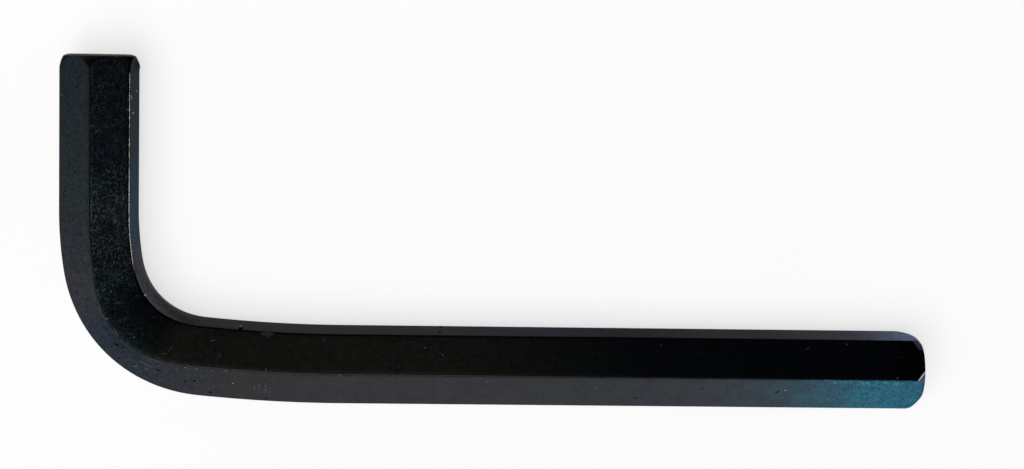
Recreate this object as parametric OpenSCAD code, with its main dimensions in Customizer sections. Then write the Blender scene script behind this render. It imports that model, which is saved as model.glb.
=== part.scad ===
// A long-pattern hex key: one length of hexagonal bar, bent once, with both ends bevelled.
// The long arm lies along +X and the short arm along +Y, and the key rests on Z = 0.
// The bar is rolled about its own axis, so it lies on one edge and not on a flat.

/* [Bar] */
// Width of the hexagonal bar across its flats
across_flats = 10; // [6:0.5:14]
// Radius that rounds the six long edges of the bar
edge_r = 0.3; // [0.1:0.05:0.6]
// Roll of the bar about its own axis, from lying on a flat, with the outer side turned up
bar_roll = 22.5; // [0:0.5:30]

/* [Arms] */
// Length of the long arm, from its end to the outside of the short arm
long_arm = 122; // [90:1:240]
// Length of the short arm, from its end to the outside of the long arm
short_arm = 48.5; // [42:0.5:80]

/* [Bend] */
// Radius of the bar's centre line in the main part of the bend
bend_r = 15.7; // [13:0.1:20]
// Angle of the gentle curve that leads from the short arm into the bend
short_ease_angle = 9; // [3:0.5:15]
// Length of that curve along the bar
short_ease_len = 7.5; // [4:0.5:12]
// Angle of the gentle curve that leads from the bend into the long arm
long_ease_angle = 5.5; // [2:0.5:10]
// Length of that curve along the bar
long_ease_len = 19.5; // [8:0.5:26]
// How far the top and bottom edges of the bar curl outward in the middle of the bend
bend_curl = 1.45; // [0:0.05:2]
// Share of its thickness that the outer side of the bar loses in the middle of the bend
bend_thinning = 0.1; // [0:0.01:0.2]

/* [Long end] */
// Radius of the round flat face at the end
long_face_r = 4; // [3:0.1:4.5]
// Length of the longest rounded corner along the bar, from the end face
long_corner_len = 3.5; // [2:0.1:4.2]
// How far the rounding's axis is above the bar's, so that it cuts least at the top
long_nose_rise = 0.5; // [0:0.05:0.8]

/* [Short end] */
// How far the rim bevel cuts in from the flats, at the end face
short_rim_cut = 0.6; // [0.3:0.1:1.5]
// Length of the rim bevel along the bar
short_rim_len = 0.3; // [0.2:0.05:1]
// Length of the rounded corners along the bar, from the end face
short_corner_len = 1.9; // [1.4:0.1:3]

/* [Hidden] */
$fn = 96;

edge_steps = 4; // flat steps round each long edge
ease_step = 1.5; // angle between the sections of the two lead-in curves
bend_step = 2.5; // angle between the sections of the main bend
bend_angle = 90;
arm_run_in = 0.3; // how far each straight arm runs into the end of the bend
bend_skin = 0.01; // how much the bend stands proud of the arms that run into it

flat_r = across_flats / 2;
corner_r = flat_r / cos(30);
edge_centre_r = corner_r - edge_r / cos(30);

// The bar's section as [outward, up] from its centre, with a point in the middle of each flat
section = [
    for (corner = [0:5])
        let (turn = 60 * corner + bar_roll)
            each [
                for (step = [0:edge_steps])
                    let (around = turn - 30 + 60 * step / edge_steps)
                        edge_centre_r * [cos(turn), sin(turn)] + edge_r * [cos(around), sin(around)],
                flat_r * [cos(turn + 30), sin(turn + 30)]
            ]
];
proud = 1 + bend_skin / flat_r;
section_out = proud * max([for (p = section) p[0]]);

// The centre line of the bend as three arcs, each a length and an angle, from the short arm on
main_angle = bend_angle - short_ease_angle - long_ease_angle;
short_ease = [short_ease_len, short_ease_angle];
main_bend = [bend_r * main_angle * PI / 180, main_angle];
long_ease = [long_ease_len, long_ease_angle];

// A place on the centre line is [x, y, heading]; the heading is 0 down the short arm, 90 along the long one
function outward(heading) = -[cos(heading), sin(heading)];
function along(from, arc, share) =
    let (
        radius = arc[0] / arc[1] * 180 / PI,
        heading = from[2] + arc[1] * share,
        shift = radius * (outward(heading) - outward(from[2]))
    )
        [from[0] + shift[0], from[1] + shift[1], heading];
function stations(from, arc, step) =
    let (count = ceil(arc[1] / step))
        [for (i = [0:count - 1]) along(from, arc, i / count)];

bend_start = [0, 0, 0];
main_start = along(bend_start, short_ease, 1);
main_end = along(main_start, main_bend, 1);
bend_end = along(main_end, long_ease, 1);
centre_line = [
    each stations(bend_start, short_ease, ease_step),
    each stations(main_start, main_bend, bend_step),
    each stations(main_end, long_ease, ease_step),
    bend_end
];

// Both arms' centre lines meet at the origin of the bend's own frame
bend_height = -bend_end[1];
bend_reach = bend_end[0];
short_arm_start = bend_height - arm_run_in;
long_arm_start = bend_reach - arm_run_in;
short_arm_end = short_arm - section_out;
long_arm_end = long_arm - section_out;

// Bending curls the bar's top and bottom edges outward and thins its outer side, most in the middle
function bent(p, amount) = [
    p[0] + bend_curl * amount * pow(p[1] / corner_r, 2),
    p[1] * (1 - bend_thinning * amount * max(p[0], 0) / corner_r)
];
function bent_ring(place) =
    let (
        amount = pow(sin(180 * place[2] / bend_angle), 2),
        out = outward(place[2])
    )
        [
            for (p = section)
                let (q = bent(p * proud, amount))
                    [place[0] + out[0] * q[0], place[1] + out[1] * q[0], q[1]]
        ];
bend_rings = [for (place = centre_line) bent_ring(place)];
rest_height = -min([for (ring = bend_rings) each [for (p = ring) p[2]]]);

module section_face() {
    polygon([for (p = section) [-p[0], p[1]]]);
}

// A rod along +Z with a ball for its end; the ball passes through two places, each [radius, distance from the end]
module round_nose(length, near, far) {
    back = (near[1] + far[1] + (pow(far[0], 2) - pow(near[0], 2)) / (far[1] - near[1])) / 2;
    ball_r = sqrt(pow(near[0], 2) + pow(back - near[1], 2));
    cylinder(h = length - back, r = ball_r);
    translate([0, 0, length - back]) sphere(ball_r);
}

// A rod along +Z with a cone round the rim of its end
module coned_rod(length, rim_cut, rim_len) {
    beyond = 2;
    rotate_extrude() polygon([
        [0, 0],
        [flat_r + beyond, 0],
        [flat_r + beyond, length - rim_len - beyond * rim_len / rim_cut],
        [flat_r - rim_cut, length],
        [0, length]
    ]);
}

module long_arm_bar() {
    length = long_arm_end - long_arm_start;
    translate([long_arm_start, 0, 0]) rotate([90, 0, 90])
        intersection() {
            linear_extrude(length) section_face();
            translate([0, long_nose_rise, 0])
                round_nose(length, [long_face_r, 0], [corner_r + long_nose_rise, long_corner_len]);
        }
}

// The section is mirrored by the half turn that points this arm the other way
module short_arm_bar() {
    length = short_arm_end - short_arm_start;
    translate([0, short_arm_start, 0]) rotate([-90, 0, 0]) mirror([0, 1, 0])
        intersection() {
            linear_extrude(length) section_face();
            coned_rod(length, short_rim_cut, short_rim_len);
            round_nose(length, [flat_r, short_rim_len], [corner_r, short_corner_len]);
        }
}

module bend() {
    rings = len(bend_rings);
    sides = len(section);
    translate([0, bend_height, 0])
        polyhedron(
            points = [for (ring = bend_rings) each ring],
            faces = [
                [for (i = [sides - 1:-1:0]) i],
                [for (i = [0:sides - 1]) (rings - 1) * sides + i],
                for (r = [0:rings - 2], i = [0:sides - 1])
                    let (a = r * sides + i, b = r * sides + (i + 1) % sides)
                        each [[a, b + sides, a + sides], [a, b, b + sides]]
            ]
        );
}

module hex_key() {
    color("#23272b")
        translate([section_out - long_arm / 2, section_out - short_arm / 2, rest_height]) {
            short_arm_bar();
            bend();
            long_arm_bar();
        }
}

hex_key();
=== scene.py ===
import math
import bmesh
import bpy
from mathutils import Euler, Matrix, Vector


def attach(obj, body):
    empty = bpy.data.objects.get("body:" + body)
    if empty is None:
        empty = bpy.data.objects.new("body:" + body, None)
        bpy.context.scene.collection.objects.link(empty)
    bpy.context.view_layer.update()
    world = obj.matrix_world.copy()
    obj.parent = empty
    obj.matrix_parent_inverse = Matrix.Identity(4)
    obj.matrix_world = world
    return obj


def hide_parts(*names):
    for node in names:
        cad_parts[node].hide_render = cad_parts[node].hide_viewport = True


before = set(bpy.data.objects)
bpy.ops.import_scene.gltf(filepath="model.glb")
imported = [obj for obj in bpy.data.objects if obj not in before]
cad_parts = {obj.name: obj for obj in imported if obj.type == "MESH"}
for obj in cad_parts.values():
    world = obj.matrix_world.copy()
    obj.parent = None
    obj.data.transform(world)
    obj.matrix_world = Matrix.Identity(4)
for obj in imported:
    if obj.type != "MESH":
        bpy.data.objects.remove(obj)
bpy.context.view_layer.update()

mm = 0.001
print("frame loaded")

# the bar and its bend, in millimetres and degrees, as in the CAD model
bar = {
    "acrossFlats": 10.0,
    "edgeRadius": 0.3,
    "roll": 22.5,  # turns the outer side up
    "longArm": 122.0,
    "shortArm": 48.5,
    "reachOut": 5.322,  # from the bar's middle to its outermost edge
    "restHeight": 5.6895,  # of the bar's middle, where the key lies
    "arcs": [(7.5, 9.0), (math.radians(75.5) * 15.7, 75.5), (19.5, 5.5)],  # length and angle of each
    "curl": 1.45,  # how far the bend's top and bottom edges curl outward
    "thinning": 0.1,  # share of its thickness that the bend's outer side loses
    "edgeSegments": 4,
    "flatCuts": 9,
    "ringStep": 0.3,
    "sharpAngle": 17,  # edges of the mesh above this stay sharp
}

flatR = bar["acrossFlats"] / 2
cornerR = flatR / math.cos(math.radians(30))
sideWidth = cornerR  # a hexagon's side is as long as its corners are far out

# the turned ends, in millimetres; each is rounded by a ball through its start and its corner
shortEnd = {
    "face": 4.4,  # radius of the flat end face
    "rim": 0.22,  # length of the bevel round it
    "rise": 0.0,  # of the turning's middle above the bar's
    "start": flatR - 0.02,
    "corner": 1.9,  # length of the longest rounded corner
    "wear": 0.12,  # how softly the turned end meets the bar
}
longEnd = {
    "face": 4.0,
    "rim": 0.0,
    "rise": 0.5,
    "start": 4.0,
    "corner": 3.5,
    "wear": 0.35,
}
rings = {
    "square": 5.0,  # millimetres from an end to where the rings are square to the bar
    "face": 3,
    "nose": 7,
    "body": 16,
    "bodyGrowth": 1.3,
    "rimInset": 0.04,  # of the bevel's last ring from the flats
}
# a small burr near the short end's inner corner, in millimetres along the bar and corners round it
burr = {
    "along": 1.5,
    "alongReach": 0.5,
    "around": 2.95,
    "aroundReach": 0.3,
    "height": 0.14,
}

# the bar's own map and the attribute "turned", which is 0 on the bar itself
mapScale = 10.0  # millimetres along the bar to one unit of the map
turnedNose = 0.5
turnedFace = 1.0


def outward(heading):
    return Vector((-math.cos(heading), -math.sin(heading)))


def bendPath():
    place, heading = Vector((0.0, 0.0)), 0.0
    arcs = []
    for length, angle in bar["arcs"]:
        radius = length / math.radians(angle)
        arcs.append((place.copy(), heading, radius, length))
        place += radius * (outward(heading + math.radians(angle)) - outward(heading))
        heading += math.radians(angle)
    lift = -place.y  # the long arm's middle is on y = 0
    shortStraight = bar["shortArm"] - bar["reachOut"] - lift
    longStraight = bar["longArm"] - bar["reachOut"] - place.x
    return arcs, lift, place.x, shortStraight, longStraight


arcs, bendLift, bendReach, shortStraight, longStraight = bendPath()
barLength = shortStraight + sum(arc[3] for arc in arcs) + longStraight


def placeAt(along):  # the middle of the bar and its heading, at a distance from the short end
    if along <= shortStraight:
        return Vector((0, bendLift + shortStraight - along)), 0.0
    rest = along - shortStraight
    for start, heading, radius, length in arcs:
        if rest <= length:
            turned = heading + rest / radius
            middle = start + radius * (outward(turned) - outward(heading)) + Vector((0, bendLift))
            return middle, turned
        rest -= length
    return Vector((bendReach + rest, 0)), math.radians(90)


def pointAt(along, u, w):  # u is outward and w upward from the middle of the bar
    middle, heading = placeAt(along)
    amount = math.sin(2 * heading) ** 2
    out = u + bar["curl"] * amount * (w / cornerR) ** 2
    up = w * (1 - bar["thinning"] * amount * max(u, 0) / cornerR)
    spot = middle + outward(heading) * out
    x = spot.x + bar["reachOut"] - bar["longArm"] / 2
    y = spot.y + bar["reachOut"] - bar["shortArm"] / 2
    return Vector((x, y, up + bar["restHeight"])) * mm


def cornersPassed(u, w):  # how far round the section a point lies, counted in corners
    return (math.degrees(math.atan2(w, u)) - bar["roll"]) % 360 / 60


def ballThrough(near, far):  # each place is (radius, distance from the end)
    back = (near[1] + far[1] + (far[0] ** 2 - near[0] ** 2) / (far[1] - near[1])) / 2
    return back, math.hypot(near[0], back - near[1])


def softLower(a, b, wear):  # the lower of two sizes, worn round where they are about equal
    share = min(max(0.5 + 0.5 * (b - a) / wear, 0), 1)
    return b + (a - b) * share - wear * share * (1 - share)


def noseColumn(u, w, end):
    # places from the end face's rim inwards, each (distance from the end, u, w)
    back, ballR = ballThrough((end["start"], end["rim"]), (cornerR + end["rise"], end["corner"]))
    reach = math.hypot(u, w - end["rise"])
    cut = back - math.sqrt(ballR ** 2 - reach ** 2)
    places = []
    if end["rim"] > 0:
        for i in range(rings["face"]):
            share = i / rings["face"]
            places.append((end["rim"] * share,
                           end["face"] + (flatR - rings["rimInset"] - end["face"]) * share))
    for i in range(rings["nose"] + 1):
        near = end["rim"] + (cut - end["rim"]) * i / rings["nose"]
        places.append((near, math.sqrt(ballR ** 2 - (back - near) ** 2)))
    for i in range(1, rings["body"] + 1):
        near = cut + (rings["square"] - cut) * (i / rings["body"]) ** rings["bodyGrowth"]
        places.append((near, math.sqrt(ballR ** 2 - max(back - near, 0) ** 2)))
    column = []
    for near, r in places:
        r = softLower(r, reach, end["wear"]) / reach
        column.append((near, u * r, end["rise"] + (w - end["rise"]) * r))
    return column


def barColumn(u, w):  # all the places of one point of the section, each (distance along the bar, u, w)
    squarePart = barLength - 2 * rings["square"]
    steps = round(squarePart / bar["ringStep"])
    middle = [(rings["square"] + squarePart * i / steps, u, w) for i in range(1, steps)]
    last = [(barLength - near, a, b) for near, a, b in reversed(noseColumn(u, w, longEnd))]
    return noseColumn(u, w, shortEnd) + middle + last


def addSection(bm):
    bmesh.ops.create_circle(bm, segments=6, radius=cornerR)
    bmesh.ops.bevel(bm, geom=bm.verts[:] + bm.edges[:],
                    offset=bar["edgeRadius"] * math.tan(math.radians(30)),
                    segments=bar["edgeSegments"], profile=0.5, affect="VERTICES", material=-1)
    flats = [e for e in bm.edges if e.calc_length() > 1]
    bmesh.ops.subdivide_edges(bm, edges=flats, cuts=bar["flatCuts"])
    turn = Matrix.Rotation(math.radians(bar["roll"] - 90), 4, "Z")
    bmesh.ops.transform(bm, matrix=turn, verts=bm.verts)


def addRings(bm, columns, columnOf, alongOf, levelOf):
    ring = bm.edges[:]
    for level in range(len(columns[0])):
        if level > 0:
            grown = bmesh.ops.extrude_edge_only(bm, edges=ring)["geom"]
            ring = [g for g in grown if isinstance(g, bmesh.types.BMEdge)]
        for v in {v for e in ring for v in e.verts}:
            along, u, w = columns[v[columnOf]][level]
            besideAlong = (along - burr["along"]) / burr["alongReach"]
            besideAround = (cornersPassed(u, w) - burr["around"]) / burr["aroundReach"]
            swell = 1 + burr["height"] / cornerR * math.exp(-(besideAlong ** 2 + besideAround ** 2))
            v.co = pointAt(along, u * swell, w * swell)
            v[alongOf] = along
            v[levelOf] = level


def mapFaces(bm, section, topLevel, columnOf, alongOf, levelOf):
    barMap = bm.loops.layers.uv.new("barMap")  # x goes along the bar, and y counts its corners
    turnedOf = bm.loops.layers.float.new("turned")
    aroundOf = [cornersPassed(u, w) for u, w in section]
    for face in bm.faces:
        face.smooth = True
        turns = [aroundOf[loop.vert[columnOf]] for loop in face.loops]
        levels = [loop.vert[levelOf] for loop in face.loops]
        # the count of corners starts again along one line of the bar; the end faces have many more sides
        seam = max(turns) - min(turns) > 3 and len(turns) < 6
        turned = 0.0
        if max(levels) <= rings["face"] + rings["nose"] or min(levels) >= topLevel - rings["nose"]:
            turned = turnedNose
        if max(levels) <= rings["face"] or min(levels) == topLevel:
            turned = turnedFace
        for loop, around in zip(face.loops, turns):
            if seam and around < 3:
                around += 6
            loop[barMap].uv = (loop.vert[alongOf] / mapScale, around)
            loop[turnedOf] = turned


def makeKey():
    bm = bmesh.new()
    addSection(bm)
    columnOf = bm.verts.layers.int.new("column")
    alongOf = bm.verts.layers.float.new("along")
    levelOf = bm.verts.layers.int.new("level")
    section = []
    for i, v in enumerate(bm.verts):
        v[columnOf] = i
        section.append((v.co.x, v.co.y))
    columns = [barColumn(u, w) for u, w in section]
    addRings(bm, columns, columnOf, alongOf, levelOf)
    bmesh.ops.holes_fill(bm, edges=[e for e in bm.edges if e.is_boundary], sides=0)
    bmesh.ops.recalc_face_normals(bm, faces=bm.faces)
    mapFaces(bm, section, len(columns[0]) - 1, columnOf, alongOf, levelOf)
    for edge in bm.edges:
        if len(edge.link_faces) == 2 and edge.calc_face_angle() > math.radians(bar["sharpAngle"]):
            edge.smooth = False
    mesh = bpy.data.meshes.new("hexKeyBar")
    bm.to_mesh(mesh)
    bm.free()
    key = bpy.data.objects.new("hexKeyBar", mesh)
    bpy.context.collection.objects.link(key)
    weighted = key.modifiers.new("weighted", "WEIGHTED_NORMAL")
    weighted.keep_sharp = True
    return key


key = makeKey()
print("key made with", len(key.data.polygons), "faces")


# helpers for the node trees; each returns a socket but for the first, which returns the node
def node(tree, kind, settings={}, inputs={}):
    made = tree.nodes.new("ShaderNode" + kind)
    for name, value in settings.items():
        setattr(made, name, value)
    for name, value in inputs.items():
        if isinstance(value, bpy.types.NodeSocket):
            tree.links.new(value, made.inputs[name])
        else:
            made.inputs[name].default_value = value
    return made


def maths(tree, operation, first, second=0.0, third=0.0):
    return node(tree, "Math", {"operation": operation}, {0: first, 1: second, 2: third}).outputs[0]


def times(tree, first, *others):
    for other in others:
        first = maths(tree, "MULTIPLY", first, other)
    return first


def timesPlus(tree, value, factor, extra):
    return maths(tree, "MULTIPLY_ADD", value, factor, extra)


def minus(tree, first, second):
    return maths(tree, "SUBTRACT", first, second)


def larger(tree, first, second):
    return maths(tree, "MAXIMUM", first, second)


def above(tree, value, limit):
    return maths(tree, "GREATER_THAN", value, limit)


def below(tree, value, limit):
    return maths(tree, "LESS_THAN", value, limit)


def apart(tree, first, second):
    return maths(tree, "ABSOLUTE", minus(tree, first, second))


def centred(tree, noise):
    return minus(tree, noise, 0.5)


def vectorMaths(tree, operation, inputs):
    return node(tree, "VectorMath", {"operation": operation}, inputs).outputs[0]


def rotated(tree, place, angle):
    return node(tree, "VectorRotate", {"rotation_type": "Z_AXIS"},
                {"Vector": place, "Angle": angle}).outputs[0]


def spread(tree, value, low, high, toLow=0.0, toHigh=1.0):
    return node(tree, "MapRange", {"interpolation_type": "SMOOTHSTEP", "clamp": False},
                {"Value": value, "From Min": low, "From Max": high,
                 "To Min": toLow, "To Max": toHigh}).outputs[0]


def mix(tree, share, first, second, blend="MIX"):
    made = node(tree, "Mix", {"data_type": "RGBA", "blend_type": blend})
    for name, value in (("Factor_Float", share), ("A_Color", first), ("B_Color", second)):
        socket = next(i for i in made.inputs if i.identifier == name)
        if isinstance(value, bpy.types.NodeSocket):
            tree.links.new(value, socket)
        else:
            socket.default_value = value
    return next(o for o in made.outputs if o.identifier == "Result_Color")


def alongRamp(tree, share, stops):
    made = node(tree, "ValToRGB", {}, {"Fac": share})
    ramp = made.color_ramp
    for place, colour in stops:
        stop = ramp.elements.new(place / barLength) if place > 0 else ramp.elements[0]
        stop.color = colour + (1,)
    ramp.elements.remove(ramp.elements[-1])
    return made.outputs["Color"]


def noiseOf(tree, place, scale, detail, roughness, warp=0.0):
    return node(tree, "TexNoise", {}, {"Vector": place, "Scale": scale, "Detail": detail,
                                       "Roughness": roughness, "Distortion": warp}).outputs["Fac"]


studio = {
    "worldTop": 0.02,
    "worldTopFrom": 0.5,
    "horizon": 1.0,
    "horizonTo": 0.2,
    "floorReach": 3,  # metres from its middle to each side
    "floorColour": (0.95, 0.95, 0.95, 1),
    "floorGlow": 0.7,  # share of plain white in what the camera and the steel see
    "keyLight": {"place": (-0.3, -0.24, 1.1), "size": 0.9, "watts": 14.4},
}


def makeWorld():
    world = bpy.data.worlds.new("studio")
    bpy.context.scene.world = world
    world.use_nodes = True
    tree = world.node_tree
    tree.nodes.clear()
    place = node(tree, "TexCoord").outputs["Generated"]
    height = node(tree, "SeparateXYZ", {}, {0: place}).outputs["Z"]
    ramp = node(tree, "ValToRGB", {}, {"Fac": height})
    ramp.color_ramp.interpolation = "EASE"
    low, high = ramp.color_ramp.elements
    low.position = studio["horizonTo"]
    low.color = (studio["horizon"],) * 3 + (1,)
    high.position = studio["worldTopFrom"]
    high.color = (studio["worldTop"],) * 3 + (1,)
    shine = node(tree, "Background", {}, {"Color": ramp.outputs["Color"]})
    node(tree, "OutputWorld", {}, {"Surface": shine.outputs[0]})


def makeLight(name, settings):
    data = bpy.data.lights.new(name, "AREA")
    data.shape = "SQUARE"
    data.size = settings["size"]
    data.energy = settings["watts"]
    lamp = bpy.data.objects.new(name, data)
    bpy.context.collection.objects.link(lamp)
    lamp.location = settings["place"]
    lamp.rotation_euler = (-lamp.location).to_track_quat("-Z", "Y").to_euler()


def makeFloor():
    bm = bmesh.new()
    bmesh.ops.create_grid(bm, x_segments=1, y_segments=1, size=studio["floorReach"])
    mesh = bpy.data.meshes.new("floor")
    bm.to_mesh(mesh)
    bm.free()
    floor = bpy.data.objects.new("floor", mesh)
    bpy.context.collection.objects.link(floor)
    material = bpy.data.materials.new("paleFloor")
    material.use_nodes = True
    tree = material.node_tree
    tree.nodes.clear()
    lit = node(tree, "BsdfDiffuse", {}, {"Color": studio["floorColour"]})
    white = node(tree, "Emission")
    ray = node(tree, "LightPath").outputs
    mirrored = larger(tree, ray["Is Glossy Ray"], ray["Is Transmission Ray"])
    seen = larger(tree, ray["Is Camera Ray"], mirrored)
    glow = times(tree, seen, studio["floorGlow"])
    blend = node(tree, "MixShader", {}, {0: glow, 1: lit.outputs[0], 2: white.outputs[0]})
    node(tree, "OutputMaterial", {}, {"Surface": blend.outputs[0]})
    mesh.materials.append(material)


makeWorld()
makeLight("keyLight", studio["keyLight"])
makeFloor()
print("studio set")


# black oxide and temper colours, with painted light and shade: each flat's own ramp makes it lighter or
# darker as light falls on its facing; a flat's are (distance from the short end in millimetres, linear
# colour)
steel = {
    "outerFlat": [(0, (0.016, 0.022, 0.027)), (14, (0.021, 0.027, 0.031)), (26, (0.028, 0.034, 0.040)),
                  (32, (0.039, 0.040, 0.047)), (37, (0.030, 0.038, 0.051)), (44, (0.031, 0.038, 0.045)),
                  (52, (0.039, 0.040, 0.044)), (66, (0.043, 0.043, 0.046)), (112, (0.044, 0.046, 0.054)),
                  (122, (0.047, 0.051, 0.060)), (130, (0.046, 0.064, 0.078)), (138, (0.042, 0.097, 0.130)),
                  (141, (0.038, 0.121, 0.174)), (145, (0.033, 0.140, 0.207)), (151, (0.030, 0.128, 0.198))],
    "topFlat": [(0, (0.016, 0.027, 0.038)), (12, (0.019, 0.032, 0.045)), (17, (0.018, 0.033, 0.047)),
                (22, (0.026, 0.040, 0.055)), (26, (0.021, 0.034, 0.048)), (29, (0.013, 0.022, 0.031)),
                (32, (0.016, 0.026, 0.030)), (38, (0.013, 0.020, 0.023)), (42, (0.017, 0.021, 0.022)),
                (46, (0.041, 0.041, 0.035)),
                (84, (0.045, 0.045, 0.039)), (98, (0.028, 0.032, 0.029)), (112, (0.014, 0.017, 0.022)),
                (128, (0.011, 0.014, 0.020)), (146, (0.011, 0.014, 0.020)), (149, (0.006, 0.007, 0.009))],
    "innerFlat": [(0, (0.013, 0.020, 0.024)), (9, (0.015, 0.028, 0.035)), (13, (0.016, 0.032, 0.043)),
                  (17, (0.014, 0.050, 0.080)), (22, (0.019, 0.057, 0.088)), (26.5, (0.026, 0.058, 0.085)),
                  (28, (0.060, 0.064, 0.080)), (33, (0.068, 0.068, 0.075)), (37, (0.059, 0.056, 0.062)),
                  (41, (0.050, 0.049, 0.054)), (46, (0.041, 0.041, 0.044)), (52, (0.034, 0.033, 0.036)),
                  (80, (0.031, 0.029, 0.034)), (98, (0.030, 0.027, 0.038)), (110, (0.016, 0.014, 0.024)),
                  (121, (0.032, 0.027, 0.034)), (129, (0.036, 0.029, 0.039)), (137, (0.048, 0.043, 0.058)),
                  (142, (0.054, 0.054, 0.074)), (145, (0.070, 0.080, 0.117)), (149, (0.126, 0.168, 0.248))],
    "wander": 9.0,  # how unevenly the colours of the outer flat begin, in millimetres
    "wanderOnOthers": 0.3,  # share of that on the other flats
    "shortCorner": (0.017, 0.0145, 0.0095, 1),
    "shortInnerCorner": (0.004, 0.004, 0.005, 1),
    # painted reflection: the long end's lighter outer corner
    "longCornerPaintedReflection": (0.08, 0.10, 0.14, 1),
    "longInnerCorner": (0.040, 0.039, 0.072, 1),
    # painted highlight: the bright line on the long end
    "longPaintedHighlight": (0.42, 0.46, 0.52, 1),
    "rim": (0.10, 0.095, 0.085),
    "greenPatch": (0.014, 0.072, 0.050, 1),
    "cleanPatch": (0.011, 0.013, 0.022, 1),
    # real pits, also used as painted shade on the upper edges and on the long end
    "pitAndPaintedShade": (0.002, 0.002, 0.0025, 1),
    # worn bare steel, painted light as the highlight along the short arm's inner edge
    "bareSteelHighlight": (0.56, 0.56, 0.57, 1),
    "wornDulling": 0.8,  # how much less metallic the bare steel is, which keeps its painted highlight bright
    "lint": (0.50, 0.56, 0.63, 1),
    "blueChip": (0.08, 0.33, 0.46, 1),
    "roughness": 0.3,
    "roughnessGrain": 0.14,
    "tint": 0.38,
    "relief": {"grain": 0.6, "fine": 0.35, "pits": -1.5, "strength": 0.25, "distance": 0.00002},
}

# scale, detail, roughness and, where there is one, warp
noises = {
    "patches": (160, 4, 0.5),
    "clouds": (420, 3, 0.5),
    "grain": (1500, 4, 0.65),
    "fine": (5200, 2, 0.6),
    "streaks": (7500, 3, 0.6, 0.1),
    "dashes": (9000, 1, 0.5),
}
slant = {"angle": -0.7, "stretch": (0.19, 1.0, 1.0)}  # of the streaks, in radians and as a scale

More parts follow.
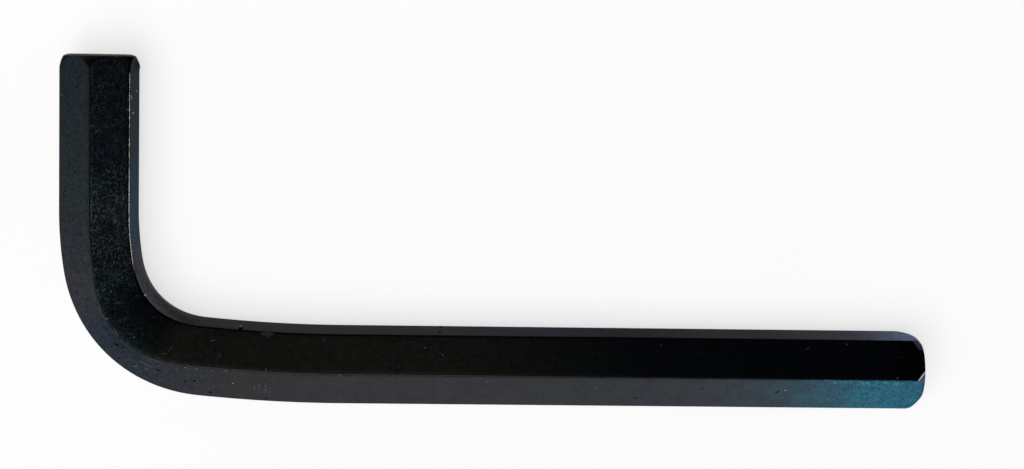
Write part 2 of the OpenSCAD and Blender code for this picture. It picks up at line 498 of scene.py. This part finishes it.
# marks seen in the photograph: distance along the bar in millimetres, corners of the section passed,
# turn in degrees, half length, half width and bow in millimetres, strength
lintMarks = [
    (17.6, 1.43, 112, 1.0, 0.035, 0.25, 0.2), (19.5, 1.48, 103, 1.1, 0.035, -0.2, 0.2),
    (21.5, 1.6, 145, 0.6, 0.045, 0.0, 0.25), (33.2, 1.34, 100, 0.16, 0.07, 0.0, 0.45),
    (32.6, 1.18, 118, 0.35, 0.04, 0.6, 0.35), (35.1, 1.4, 78, 0.6, 0.035, 0.3, 0.25),
    (45.3, 1.35, 88, 0.75, 0.022, 0.12, 0.32), (44.85, 1.19, 25, 0.45, 0.022, 0.3, 0.32),
    (52.2, 1.26, 92, 0.5, 0.025, 0.0, 0.26), (52.5, 1.31, 106, 0.45, 0.025, 0.1, 0.26),
    (51.2, 1.7, 20, 0.4, 0.03, 0.0, 0.32), (42.5, 0.34, 60, 0.5, 0.03, 1.1, 0.35),
    (43.3, 0.66, -10, 0.85, 0.03, 0.45, 0.3), (43.6, 0.48, 75, 0.45, 0.028, -0.9, 0.25),
    (57.5, 0.42, 95, 0.6, 0.022, 0.3, 0.22), (58.2, 0.5, 95, 0.7, 0.022, 0.3, 0.22),
    (59.1, 0.46, 95, 0.6, 0.022, 0.3, 0.2), (59.0, 0.56, 90, 0.1, 0.07, 0.0, 0.2),
    (59.0, 0.36, 90, 0.1, 0.07, 0.0, 0.3), (14.5, 0.8, 40, 0.3, 0.03, 0.8, 0.12),
    (49.5, 0.95, 0, 0.11, 0.07, 0.0, 0.35), (48.0, 0.95, 0, 0.11, 0.07, 0.0, 0.3),
    (54.5, 0.54, 40, 0.13, 0.08, 0.0, 0.4), (40.2, 1.22, 20, 0.12, 0.08, 0.0, 0.3),
    (132.0, 0.62, 30, 0.12, 0.08, 0.0, 0.55), (147.7, 1.05, 0, 0.1, 0.08, 0.0, 0.4),
    (5.7, 0.07, 0, 0.13, 0.09, 0.0, 0.14), (5.1, 2.71, 0, 0.14, 0.35, 0.0, 0.55),
    (8.1, 2.32, 90, 0.8, 0.08, 0.0, 0.65), (5.9, 2.15, 20, 0.35, 0.2, 0.8, 0.45),
    (54.8, 2.38, 90, 0.5, 0.09, 0.0, 0.45), (4.5, 1.22, 30, 0.1, 0.07, 0.0, 0.2),
    (4.5, 1.34, 60, 0.1, 0.07, 0.0, 0.2), (9.75, 1.07, 90, 0.36, 0.032, -1.1, 0.3),
    (10.6, 1.17, -40, 0.42, 0.028, 0.5, 0.38), (10.5, 1.26, 90, 0.18, 0.025, 0.0, 0.2),
    (12.5, 1.62, 90, 0.26, 0.03, -1.6, 0.2), (13.6, 1.32, 70, 0.36, 0.028, 1.0, 0.16),
    (5.9, 2.08, 60, 0.25, 0.05, 0.9, 0.5), (7.6, 1.98, 100, 0.35, 0.045, 1.2, 0.45),
    (36.5, 2.04, 45, 0.2, 0.14, 0.0, 0.8), (140.7, 1.91, -25, 0.32, 0.03, 0.0, 0.25),
    (148.0, 1.58, 10, 0.16, 0.05, 0.0, 0.12), (149.6, 1.5, 0, 0.1, 0.05, 0.0, 0.1),
    (58.8, 1.96, 0, 1.05, 0.24, 0.0, 0.085), (58.9, 1.92, 90, 0.3, 0.25, 0.0, 0.07),
    (59.0, 1.06, 0, 0.1, 0.07, 0.0, 0.25), (53.5, 0.95, 0, 0.16, 0.06, 0.0, 0.3),
    (51.7, 0.93, 0, 0.1, 0.05, 0.0, 0.25), (66.9, 1.9, 90, 0.25, 0.03, 0.0, 0.25),
    (69.2, 0.99, 0, 0.1, 0.07, 0.0, 0.18), (75.2, 1.37, -55, 0.6, 0.03, 0.0, 0.1),
    (77.4, 1.2, 0, 0.1, 0.07, 0.0, 0.22), (81.1, 1.72, 50, 0.14, 0.07, 0.0, 0.3),
    (83.55, 1.52, 0, 0.09, 0.08, 0.0, 0.35), (89.9, 0.83, 60, 0.2, 0.05, 0.0, 0.18),
    (105.3, 0.62, 90, 0.12, 0.05, 0.0, 0.35), (114.3, 1.85, 0, 0.14, 0.09, 0.0, 0.12),
    (124.2, 1.79, 90, 0.12, 0.07, 0.0, 0.12), (135.1, 1.79, 30, 0.22, 0.08, 0.6, 0.16),
    (135.4, 1.84, 85, 0.22, 0.035, 0.0, 0.16),
]
pitMarks = [
    (39.2, 0.66, 50, 0.34, 0.24, 0.0, 1.0), (40.0, 0.8, 80, 0.25, 0.1, 0.0, 0.8),
    (44.9, 0.62, 0, 0.19, 0.19, 0.0, 1.0), (48.3, 0.44, 0, 0.16, 0.16, 0.0, 1.0),
    (49.3, 0.5, 0, 0.18, 0.17, 0.0, 1.0), (51.5, 0.14, 0, 0.2, 0.18, 0.0, 1.0),
    (59.1, 0.08, 0, 0.16, 0.16, 0.0, 1.0), (59.0, 0.76, 0, 0.12, 0.1, 0.0, 0.9),
    (120.2, 0.66, 0, 0.17, 0.15, 0.0, 0.9), (4.5, 0.62, 0, 0.16, 0.16, 0.0, 1.0),
    (130.9, 0.55, 50, 0.5, 0.11, 0.0, 1.0), (54.9, 2.12, 90, 0.8, 0.28, 0.0, 1.0),
    (48.2, 2.48, 90, 0.5, 0.12, 0.0, 0.8), (49.6, 2.2, 90, 0.35, 0.1, 0.0, 0.7),
    (45.2, 2.5, 90, 0.35, 0.1, 0.0, 0.7), (46.6, 2.3, 90, 0.35, 0.1, 0.0, 0.7),
    (51.6, 2.16, 0, 0.3, 0.1, 0.0, 0.7), (60.8, 2.3, 10, 0.25, 0.08, 0.0, 0.5),
    (10.0, 0.7, 0, 0.13, 0.13, 0.0, 0.8), (19.0, 0.2, 0, 0.14, 0.14, 0.0, 0.8),
    (28.6, 0.75, 0, 0.16, 0.14, 0.0, 1.0), (33.0, 0.62, 0, 0.14, 0.12, 0.0, 0.9),
    (81.9, 1.795, 10, 0.85, 0.075, -0.45, 1.0), (83.25, 1.66, -67, 0.6, 0.06, 0.0, 0.9),
    (81.15, 1.59, -78, 0.5, 0.06, 0.0, 0.9), (83.15, 2.32, 0, 0.22, 0.36, 0.0, 1.0),
    (83.3, 2.9, 0, 0.24, 0.5, 0.0, 0.9), (87.5, 0.44, 0, 0.12, 0.12, 0.0, 0.7),
    (110.9, 0.29, 0, 0.3, 0.13, 0.0, 0.7), (104.9, 0.975, 0, 0.25, 0.06, 0.0, 0.8),
    (106.1, 0.975, 0, 0.25, 0.06, 0.0, 0.8),
]
greenMarks = [
    (18.8, 1.08, 0, 2.2, 1.4, 0.0, 1.0), (23.3, 1.06, 0, 1.3, 1.1, 0.0, 0.9),
    (31.5, 1.3, 0, 2.4, 2.6, 0.0, 0.75), (40.5, 1.12, 0, 2.5, 0.9, 0.0, 0.7),
]

# the sizes of the scattered spots and hairs: how much is random and how much is not
spotSize = (0.8, 0.3)
hairLength = (0.8, 0.2)
# where their soft borders end and begin, as shares of their size
markBorder = (1.3, 0.5)
spotBorder = (1.1, 0.5)
hairBorder = (1.2, 0.4)


def newGroup(name, vectors, floats):
    group = bpy.data.node_groups.new(name, "ShaderNodeTree")
    for label in vectors:
        group.interface.new_socket(label, in_out="INPUT", socket_type="NodeSocketVector")
    for label in floats:
        group.interface.new_socket(label, in_out="INPUT", socket_type="NodeSocketFloat")
    group.interface.new_socket("Mask", in_out="OUTPUT", socket_type="NodeSocketFloat")
    given = group.nodes.new("NodeGroupInput").outputs
    return group, given, group.nodes.new("NodeGroupOutput").inputs["Mask"]


def makeStrokes():  # short curved hairs, at most one in each cell of a flat layout
    group, given, result = newGroup("strokes", ["Place"], ["Scale", "Length", "Width", "Bow", "Share"])
    cells = node(group, "TexVoronoi", {"voronoi_dimensions": "2D"},
                 {"Vector": given["Place"], "Scale": given["Scale"]}).outputs
    scaled = vectorMaths(group, "SCALE", {0: given["Place"], "Scale": given["Scale"]})
    centre = vectorMaths(group, "SCALE", {0: cells["Position"], "Scale": given["Scale"]})
    local = vectorMaths(group, "SUBTRACT", {0: scaled, 1: centre})
    dice = node(group, "SeparateColor", {}, {"Color": cells["Color"]}).outputs
    turned = rotated(group, local, times(group, dice["Red"], 2 * math.pi))
    spot = node(group, "SeparateXYZ", {}, {0: turned}).outputs
    bow = times(group, spot["X"], spot["X"], given["Bow"])
    across = apart(group, spot["Y"], bow)
    thin = spread(group, maths(group, "DIVIDE", across, given["Width"]), *hairBorder)
    reach = times(group, timesPlus(group, dice["Blue"], *hairLength), given["Length"])
    short = below(group, maths(group, "ABSOLUTE", spot["X"]), reach)
    chosen = below(group, dice["Green"], given["Share"])
    group.links.new(times(group, thin, short, chosen), result)
    return group


def makeSpots():  # round spots of different sizes, at most one in each cell of a flat layout
    group, given, result = newGroup("spots", ["Place"], ["Scale", "Size", "Share"])
    cells = node(group, "TexVoronoi", {"voronoi_dimensions": "2D"},
                 {"Vector": given["Place"], "Scale": given["Scale"]}).outputs
    dice = node(group, "SeparateColor", {}, {"Color": cells["Color"]}).outputs
    size = times(group, timesPlus(group, dice["Blue"], *spotSize), given["Size"])
    inside = spread(group, maths(group, "DIVIDE", cells["Distance"], size), *spotBorder)
    chosen = below(group, dice["Green"], given["Share"])
    group.links.new(times(group, inside, chosen), result)
    return group


def makeMark():  # one spot or curved stroke at a place of its own; plain numbers keep it light
    floats = ["Along", "Around", "Centre Along", "Centre Around", "Cosine", "Sine",
              "Half Length", "Half Width", "Bow", "Strength"]
    group, given, result = newGroup("mark", [], floats)
    along = minus(group, given["Along"], given["Centre Along"])
    around = minus(group, given["Around"], given["Centre Around"])
    x = timesPlus(group, along, given["Cosine"], times(group, around, given["Sine"]))
    y = minus(group, times(group, around, given["Cosine"]), times(group, along, given["Sine"]))
    bow = times(group, x, x, given["Bow"])
    across = maths(group, "DIVIDE", minus(group, y, bow), given["Half Width"])
    length = maths(group, "DIVIDE", x, given["Half Length"])
    reach = maths(group, "ADD", times(group, across, across), times(group, length, length))
    inside = spread(group, reach, *markBorder)
    group.links.new(times(group, inside, given["Strength"]), result)
    return group


def useGroup(tree, group, inputs):
    return node(tree, "Group", {"node_tree": group}, inputs).outputs[0]


def allMarks(tree, group, at, marks):
    total = 0.0
    for markAlong, corners, turn, halfLength, halfWidth, bow, strength in marks:
        mask = useGroup(tree, group, {
            "Along": at["along"], "Around": at["around"],
            "Centre Along": markAlong, "Centre Around": corners * sideWidth,
            "Cosine": math.cos(math.radians(turn)), "Sine": math.sin(math.radians(turn)),
            "Half Length": halfLength, "Half Width": halfWidth, "Bow": bow, "Strength": strength,
        })
        total = larger(tree, mask, total)
    return total


def readPlace(tree):  # where a point is on the bar, and the noises there
    place = node(tree, "TexCoord").outputs["Object"]
    barPlace = node(tree, "SeparateXYZ", {}, {0: node(tree, "UVMap", {"uv_map": "barMap"}).outputs[0]})
    along = times(tree, barPlace.outputs["X"], mapScale)  # millimetres
    around = times(tree, barPlace.outputs["Y"], sideWidth)
    flatPlace = node(tree, "CombineXYZ", {}, {0: along, 1: around}).outputs[0]
    # the lower flats mirror the upper ones: 0-1 is the outer flat, 1-2 the top one, 2-3 the inner one
    side = maths(tree, "PINGPONG", barPlace.outputs["Y"], 3.0)
    turned = node(tree, "Attribute", {"attribute_name": "turned"}).outputs["Fac"]
    at = {
        "place": place,
        "along": along,
        "around": around,
        "flat": flatPlace,
        "side": side,
        "turned": turned,
    }
    for name in ("patches", "clouds", "grain", "fine"):
        at[name] = noiseOf(tree, place, *noises[name])
    slanted = vectorMaths(tree, "MULTIPLY", {0: rotated(tree, place, slant["angle"]), 1: slant["stretch"]})
    at["streaks"] = noiseOf(tree, slanted, *noises["streaks"])
    return at


# in each table below, (from, to) is where an amount rises from 0 to 1, in millimetres along the bar,
# in corners passed or in the value of a noise; two more numbers are the amounts themselves
flatZones = {
    "shortTop": (44, 38),
    "greenFrom": (12, 18),
    "greenPatches": (0.55, 0.7, 0.0, 0.4),
    "greenClouds": (0.35, 0.6, 0.4, 1.0),
    "greenShare": 0.4,
    "cleanFrom": (32, 37),
    "cleanTo": (45, 39),
    "cleanSide": (1.4, 1.75),
    "cleanShare": 0.6,
}


def flatColours(tree, at, mark):
    along, side, clouds, zones = at["along"], at["side"], at["clouds"], flatZones
    wander = times(tree, centred(tree, clouds), steel["wander"])
    share = maths(tree, "DIVIDE", maths(tree, "ADD", along, wander), barLength)
    lessWander = times(tree, wander, steel["wanderOnOthers"])
    plainShare = maths(tree, "DIVIDE", maths(tree, "ADD", along, lessWander), barLength)
    # each flat's ramp paints the light and shade of its facing as well as its oxide and temper colour
    outerFlat = alongRamp(tree, share, steel["outerFlat"])
    topFlat = alongRamp(tree, plainShare, steel["topFlat"])
    innerFlat = alongRamp(tree, plainShare, steel["innerFlat"])
    onTop = times(tree, above(tree, side, 1.0), below(tree, side, 2.0))
    at["shortTop"] = times(tree, onTop, spread(tree, along, *zones["shortTop"]))
    green = times(tree, spread(tree, along, *zones["greenFrom"]),
                  spread(tree, at["patches"], *zones["greenPatches"]))
    green = larger(tree, green, allMarks(tree, mark, at, greenMarks))
    green = times(tree, green, spread(tree, clouds, *zones["greenClouds"]))
    green = times(tree, green, at["shortTop"], zones["greenShare"])
    topFlat = mix(tree, green, topFlat, steel["greenPatch"])
    clean = times(tree, spread(tree, along, *zones["cleanFrom"]), spread(tree, along, *zones["cleanTo"]))
    at["clean"] = times(tree, clean, spread(tree, side, *zones["cleanSide"]))
    topFlat = mix(tree, times(tree, at["clean"], zones["cleanShare"]), topFlat, steel["cleanPatch"])
    colour = mix(tree, above(tree, side, 1.0), outerFlat, topFlat)
    return mix(tree, above(tree, side, 2.0), colour, innerFlat)


mottle = {
    "shortPart": (60, 40),
    "longPart": (130, 146),
    "more": 0.9,  # at the two ends
    "least": 0.6,
    "grain": 0.75,
    "fine": 1.7,
    "clouds": 0.3,
}
chipping = {
    "side": (0.84, 0.93),
    "along": (135, 139),
    "grain": (0.53, 0.62),
    "share": 0.6,
}


def mottled(tree, at, colour):  # strongest on the short end's top flat and on the temper colour
    atEnds = larger(tree, spread(tree, at["along"], *mottle["shortPart"]),
                    spread(tree, at["along"], *mottle["longPart"]))
    strength = timesPlus(tree, atEnds, mottle["more"], mottle["least"])
    shade = times(tree, centred(tree, at["grain"]), times(tree, strength, mottle["grain"]))
    shade = maths(tree, "ADD", shade, 1.0)
    shade = timesPlus(tree, times(tree, centred(tree, at["fine"]), strength), mottle["fine"], shade)
    at["shade"] = timesPlus(tree, centred(tree, at["clouds"]), mottle["clouds"], shade)
    grey = node(tree, "CombineColor", {}, {i: at["shade"] for i in range(3)}).outputs[0]
    return mix(tree, 1.0, colour, grey, "MULTIPLY")


def chipped(tree, at, colour):  # along the edge of the temper colour
    nearEdge = times(tree, spread(tree, at["side"], *chipping["side"]), below(tree, at["side"], 1.0))
    chips = times(tree, nearEdge, spread(tree, at["along"], *chipping["along"]))
    chips = times(tree, chips, spread(tree, at["grain"], *chipping["grain"]))
    return mix(tree, times(tree, chips, chipping["share"]), colour, steel["blueChip"])


pitting = {
    "few": {"Scale": 0.36, "Size": 0.034, "Share": 0.55},
    "many": {"Scale": 1.1, "Size": 0.075, "Share": 0.5},
    "manyShare": 0.45,
    "shortEnd": (60, 45),
    "longEnd": (122, 138),
    "depth": 0.95,
}


def pitted(tree, at, colour, spots, mark):
    pits = useGroup(tree, spots, {"Place": at["flat"], **pitting["few"]})
    smallPits = useGroup(tree, spots, {"Place": at["flat"], **pitting["many"]})
    atEnds = larger(tree, spread(tree, at["along"], *pitting["shortEnd"]),
                    spread(tree, at["along"], *pitting["longEnd"]))
    pits = larger(tree, pits, times(tree, smallPits, times(tree, atEnds, pitting["manyShare"])))
    at["pits"] = larger(tree, pits, allMarks(tree, mark, at, pitMarks))
    return mix(tree, times(tree, at["pits"], pitting["depth"]), colour, steel["pitAndPaintedShade"])


# each strength is (what the short arm's top flat adds, what there is anywhere)
dust = {
    "spots": {"Scale": 2.6, "Size": 0.16, "Share": 0.3},
    "spotStrength": (0.18, 0.008),
    "hairs": {"Scale": 0.75, "Length": 0.42, "Width": 0.035, "Bow": 0.9, "Share": 0.5},
    "hairStrength": (0.14, 0.015),
    "warpScale": 0.9,
    "warp": (1.3, 1.3, 0.0),
    "hazeFrom": (14, 19),
    "hazeStrength": (0.16, 0.11),  # here what hazeFrom adds, and what there is before it
    "hazeTo": (38, 27, 0.45, 1.0),
    "hazeOnClean": -0.9,  # what the clean patch takes away
    "hazeClouds": (0.3, 0.6, 0.5, 1.0),
    "hazeStreaks": (0.52, 0.64),
}


def dustOf(tree, at, spots):  # dust and lint, most on the short arm's top flat
    strokes = makeStrokes()
    warp = node(tree, "TexNoise", {}, {"Vector": at["flat"], "Scale": dust["warpScale"], "Detail": 2.0})
    warp = vectorMaths(tree, "SUBTRACT", {0: warp.outputs["Color"], 1: (0.5, 0.5, 0.5)})
    bentPlace = vectorMaths(tree, "MULTIPLY_ADD", {0: warp, 1: dust["warp"], 2: at["flat"]})
    specks = useGroup(tree, spots, {"Place": at["flat"], **dust["spots"]})
    specks = times(tree, specks, timesPlus(tree, at["shortTop"], *dust["spotStrength"]))
    hairs = useGroup(tree, strokes, {"Place": bentPlace, **dust["hairs"]})
    hairs = times(tree, hairs, timesPlus(tree, at["shortTop"], *dust["hairStrength"]))
    hazy = timesPlus(tree, spread(tree, at["along"], *dust["hazeFrom"]), *dust["hazeStrength"])
    hazy = times(tree, hazy, spread(tree, at["along"], *dust["hazeTo"]))
    hazy = times(tree, hazy, timesPlus(tree, at["clean"], dust["hazeOnClean"], 1.0))
    hazy = times(tree, hazy, spread(tree, at["clouds"], *dust["hazeClouds"]))
    haze = times(tree, spread(tree, at["streaks"], *dust["hazeStreaks"]), times(tree, at["shortTop"], hazy))
    return larger(tree, larger(tree, specks, hairs), haze)


# painted shade: a dark line on each upper edge that hides its highlight, the inner one wider on the short
# arm
edges = {
    "outerRise": (0.988, 0.998),
    "outerFall": (1.034, 1.022),
    "outerStrength": (26, 36, 1.0, 0.84),
    "innerRise": (1.948, 1.962),
    "innerFall": (2.042, 2.030),
    "innerLine": (0.030, 0.018),
    "wideTo": 31,
}


def paintedEdgeShade(tree, at, colour):
    side = at["side"]
    at["toOuter"] = apart(tree, side, 1.0)
    at["toInner"] = apart(tree, side, 2.0)
    onShort = below(tree, at["along"], edges["wideTo"])
    outer = times(tree, spread(tree, side, *edges["outerRise"]), spread(tree, side, *edges["outerFall"]))
    outer = times(tree, outer, spread(tree, at["along"], *edges["outerStrength"]))
    inner = times(tree, spread(tree, side, *edges["innerRise"]), spread(tree, side, *edges["innerFall"]))
    inner = larger(tree, times(tree, inner, onShort), spread(tree, at["toInner"], *edges["innerLine"]))
    # painted shade: the dark lines along the upper edges
    at["edge"] = larger(tree, outer, inner)
    at["onBar"] = below(tree, at["turned"], turnedNose / 2)
    return mix(tree, times(tree, at["edge"], at["onBar"]), colour, steel["pitAndPaintedShade"])


wear = {
    "from": (2.2, 3.0),
    "to": (32, 28),
    "raggedness": 0.06,
    "halfWidth": (5, 15, 0.009, 0.014),
    "dashes": (0.42, 0.52, 0.3, 1.0),
    "clouds": (0.36, 0.42, 0.35, 1.0),
}


def wornEdgeAndHighlight(tree, at):  # the short arm's upper inner edge, worn bare and painted light as the edge's highlight
    along = at["along"]
    wornAlong = times(tree, spread(tree, along, *wear["from"]), spread(tree, along, *wear["to"]))
    ragged = timesPlus(tree, centred(tree, at["fine"]), wear["raggedness"],
                       spread(tree, along, *wear["halfWidth"]))
    wornAndHighlight = below(tree, at["toInner"], ragged)
    dashes = noiseOf(tree, at["place"], *noises["dashes"])
    wornAndHighlight = times(tree, wornAndHighlight, spread(tree, dashes, *wear["dashes"]))
    return times(tree, wornAndHighlight, wornAlong, spread(tree, at["clouds"], *wear["clouds"]))


# the first four are each (what the long end adds, what there is at the short one)
noses = {
    "outerFrom": (-0.13, 0.29),
    "outerTo": (-0.15, 0.25),
    "innerFrom": (-0.12, 0.32),
    "innerTo": (-0.12, 0.24),
    "leanFrom": barLength - 1.1,
    "lean": -0.173,  # of the painted dark reflection's border, in corners to each millimetre along the bar
    "dark": (1.01, 1.03),
    "darkTo": 1.8,
    "darkShare": 0.8,
    "paintedHighlightLine": (0.035, 0.022),  # the painted highlight, a bright line along that border
}


def turnedEnds(tree, at, colour):  # plain beside the flats and tinted at the corners; the long end gets a painted reflection: a lighter outer corner, a dark patch and a bright line along its border
    side, toOuter, toInner = at["side"], at["toOuter"], at["toInner"]
    atLong = above(tree, at["along"], barLength / 2)
    outerCorner = mix(tree, atLong, steel["shortCorner"], steel["longCornerPaintedReflection"])
    innerCorner = mix(tree, atLong, steel["shortInnerCorner"], steel["longInnerCorner"])
    onNose = above(tree, at["turned"], turnedNose / 2)
    atOuter = times(tree, onNose, spread(tree, toOuter, timesPlus(tree, atLong, *noses["outerFrom"]),
                                         timesPlus(tree, atLong, *noses["outerTo"])))
    colour = mix(tree, atOuter, colour, outerCorner)
    atInner = times(tree, onNose, spread(tree, toInner, timesPlus(tree, atLong, *noses["innerFrom"]),
                                         timesPlus(tree, atLong, *noses["innerTo"])))
    colour = mix(tree, atInner, colour, innerCorner)
    lean = timesPlus(tree, minus(tree, at["along"], noses["leanFrom"]), noses["lean"], side)
    longNose = times(tree, onNose, atLong)
    # painted dark reflection on the long end's nose
    paintedDarkReflection = times(tree, spread(tree, lean, *noses["dark"]), below(tree, side, noses["darkTo"]))
    colour = mix(tree, times(tree, paintedDarkReflection, longNose, noses["darkShare"]), colour, steel["pitAndPaintedShade"])
    paintedHighlightLine = spread(tree, apart(tree, lean, 1.0), *noses["paintedHighlightLine"])
    colour = mix(tree, times(tree, paintedHighlightLine, longNose), colour, steel["longPaintedHighlight"])
    onFace = above(tree, at["turned"], (turnedNose + turnedFace) / 2)
    face = node(tree, "CombineColor", {}, {i: times(tree, at["shade"], steel["rim"][i]) for i in range(3)})
    return mix(tree, onFace, colour, face.outputs[0])


# the renderer takes the nodes in the order they are made, and turns the steel plain black when too many
# values wait to be used at once, so each step uses up what it makes as far as it can
def makeSteel():
    material = bpy.data.materials.new("blackOxideSteel")
    material.use_nodes = True
    tree = material.node_tree
    shader = tree.nodes["Principled BSDF"].inputs
    mark, spots = makeMark(), makeSpots()
    at = readPlace(tree)
    colour = flatColours(tree, at, mark)
    colour = mottled(tree, at, colour)
    colour = chipped(tree, at, colour)
    colour = pitted(tree, at, colour, spots, mark)
    dirt = dustOf(tree, at, spots)
    # painted shade on the upper edges, with no dust on it
    colour = paintedEdgeShade(tree, at, colour)
    dirt = times(tree, dirt, minus(tree, 1.0, at["edge"]))
    dirt = larger(tree, dirt, allMarks(tree, mark, at, lintMarks))
    wornAndHighlight = wornEdgeAndHighlight(tree, at)
    colour = turnedEnds(tree, at, colour)
    dirt = times(tree, dirt, at["onBar"])
    colour = mix(tree, dirt, colour, steel["lint"])
    wornAndHighlight = times(tree, wornAndHighlight, at["onBar"])
    # worn bare steel with a painted highlight on the short arm's inner edge
    tree.links.new(mix(tree, wornAndHighlight, colour, steel["bareSteelHighlight"]), shader["Base Color"])
    metal = minus(tree, 1.0, larger(tree, dirt, times(tree, wornAndHighlight, steel["wornDulling"])))
    tree.links.new(metal, shader["Metallic"])
    rough = timesPlus(tree, centred(tree, at["grain"]), steel["roughnessGrain"], steel["roughness"])
    tree.links.new(rough, shader["Roughness"])
    tint = timesPlus(tree, at["pits"], -steel["tint"], steel["tint"])
    tree.links.new(tint, shader["Specular Tint"])
    shader["Specular IOR Level"].default_value = 0
    relief = steel["relief"]
    height = timesPlus(tree, at["grain"], relief["grain"], times(tree, at["fine"], relief["fine"]))
    height = timesPlus(tree, at["pits"], relief["pits"], height)
    bump = node(tree, "Bump", {}, {"Height": height, "Strength": relief["strength"],
                                   "Distance": relief["distance"]})
    tree.links.new(bump.outputs[0], shader["Normal"])
    return material


key.data.materials.append(makeSteel())
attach(key, "root")
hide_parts("hex_key")
print("steel made")

# the photograph's view, in metres and degrees
camera = {
    "place": (-0.0158, 0.02691, 0.345004),
    "turn": (-4.62, -2.9737, 0.9965),
    "lens": 84.696,
    "sensor": 36,
    "nearest": 0.01,
}


def makeCamera():
    data = bpy.data.cameras.new("camera")
    data.sensor_width = camera["sensor"]
    data.sensor_fit = "HORIZONTAL"
    data.lens = camera["lens"]
    data.clip_start = camera["nearest"]
    eye = bpy.data.objects.new("camera", data)
    bpy.context.collection.objects.link(eye)
    eye.location = camera["place"]
    eye.rotation_euler = Euler([math.radians(a) for a in camera["turn"]], "XYZ")
    bpy.context.scene.camera = eye


makeCamera()
bpy.context.scene.view_settings.view_transform = "Standard"
print("camera placed")
